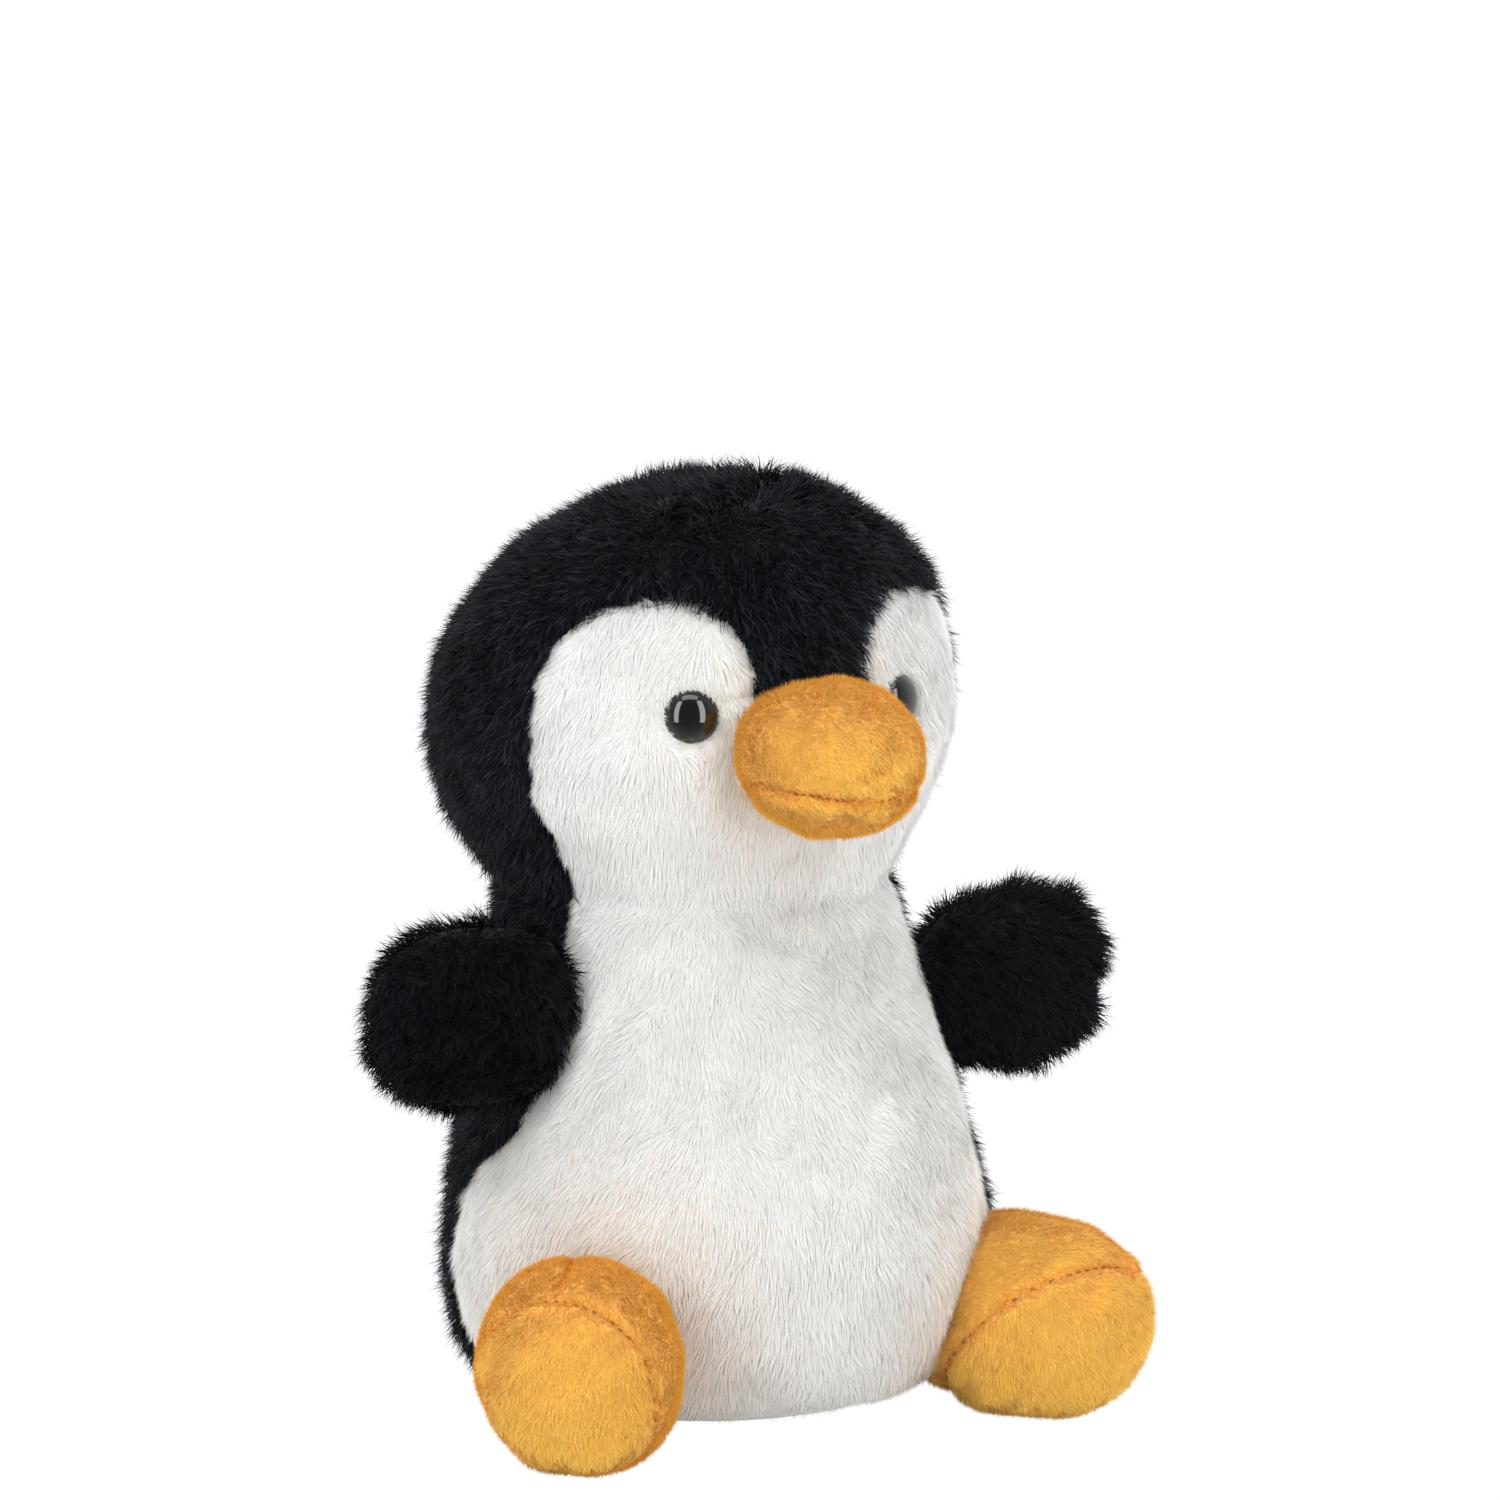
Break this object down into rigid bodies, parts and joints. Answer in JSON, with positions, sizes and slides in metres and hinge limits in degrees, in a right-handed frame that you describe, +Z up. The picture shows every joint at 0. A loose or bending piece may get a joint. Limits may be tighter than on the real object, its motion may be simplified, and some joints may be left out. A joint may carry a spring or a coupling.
{
  "type": "plush penguin",
  "caption": "Seated soft-toy penguin with a round head, padded beak, domed eyes, paddle wings and stubby feet; the neck, wings and feet flex.",
  "frame": {"origin": "middle of the flat patch that the toy sits on", "axes": "+Z up, -Y is where the toy faces, +X is its own left"},
  "size_m": [0.159, 0.1133, 0.1803],
  "materials": {
    "white_plush": "dense soft white pile",
    "black_plush": "soft blue-black pile",
    "orange_plush": "short brushed orange pile",
    "stuffing": "white polyester fibre",
    "eye_plastic": "polished black",
    "washer_plastic": "natural moulded plastic",
    "pellet_cloth": "thin woven inner cloth",
    "pellets": "small plastic beads"
  },
  "bodies": {
    "torso": {"seat_panel": "white_plush", "belly_panel": "white_plush", "back_panel_left": "black_plush", "back_panel_right": "black_plush", "torso_stuffing": "stuffing", "pellet_bag": "pellet_cloth", "pellet_fill": "pellets"},
    "head": {"crown_panel": "black_plush", "face_panel_left": "white_plush", "face_panel_right": "white_plush", "head_back_panel_left": "black_plush", "head_back_panel_right": "black_plush", "head_stuffing": "stuffing", "eye_left": "eye_plastic", "eye_right": "eye_plastic", "eye_washer_left": "washer_plastic", "eye_washer_right": "washer_plastic", "beak_upper_panel": "orange_plush", "beak_lower_panel": "orange_plush", "beak_stuffing": "stuffing"},
    "wing_left": {"wing_left_front_panel": "black_plush", "wing_left_back_panel": "black_plush", "wing_left_stuffing": "stuffing"},
    "wing_right": {"wing_right_front_panel": "black_plush", "wing_right_back_panel": "black_plush", "wing_right_stuffing": "stuffing"},
    "foot_left": {"foot_left_upper_panel": "orange_plush", "foot_left_sole_panel": "orange_plush", "foot_left_stuffing": "stuffing"},
    "foot_right": {"foot_right_upper_panel": "orange_plush", "foot_right_sole_panel": "orange_plush", "foot_right_stuffing": "stuffing"}
  },
  "joints": [
    {"name": "neck_nod", "type": "hinge", "parent": "torso", "child": "head", "pos_m": [0, 0.008, 0.118], "axis": [1, 0, 0], "range_deg": [-10, 10], "stiffness_Nm_per_rad": 2},
    {"name": "wing_left_swing", "type": "hinge", "parent": "torso", "child": "wing_left", "pos_m": [0.0434, -0.0095, 0.082], "axis": [-0.309, 0, 0.9511], "range_deg": [-60, 45], "stiffness_Nm_per_rad": 0.02},
    {"name": "wing_right_swing", "type": "hinge", "parent": "torso", "child": "wing_right", "pos_m": [-0.0434, -0.0095, 0.082], "axis": [0.309, 0, 0.9511], "range_deg": [-45, 60], "stiffness_Nm_per_rad": 0.02},
    {"name": "foot_left_flex", "type": "hinge", "parent": "torso", "child": "foot_left", "pos_m": [0.0424, -0.0301, 0.02], "axis": [0.5789, 0.8154, 0], "range_deg": [-15, 15], "stiffness_Nm_per_rad": 0.15},
    {"name": "foot_right_flex", "type": "hinge", "parent": "torso", "child": "foot_right", "pos_m": [-0.0424, -0.0301, 0.02], "axis": [0.5789, -0.8154, 0], "range_deg": [-15, 15], "stiffness_Nm_per_rad": 0.15}
  ]
}
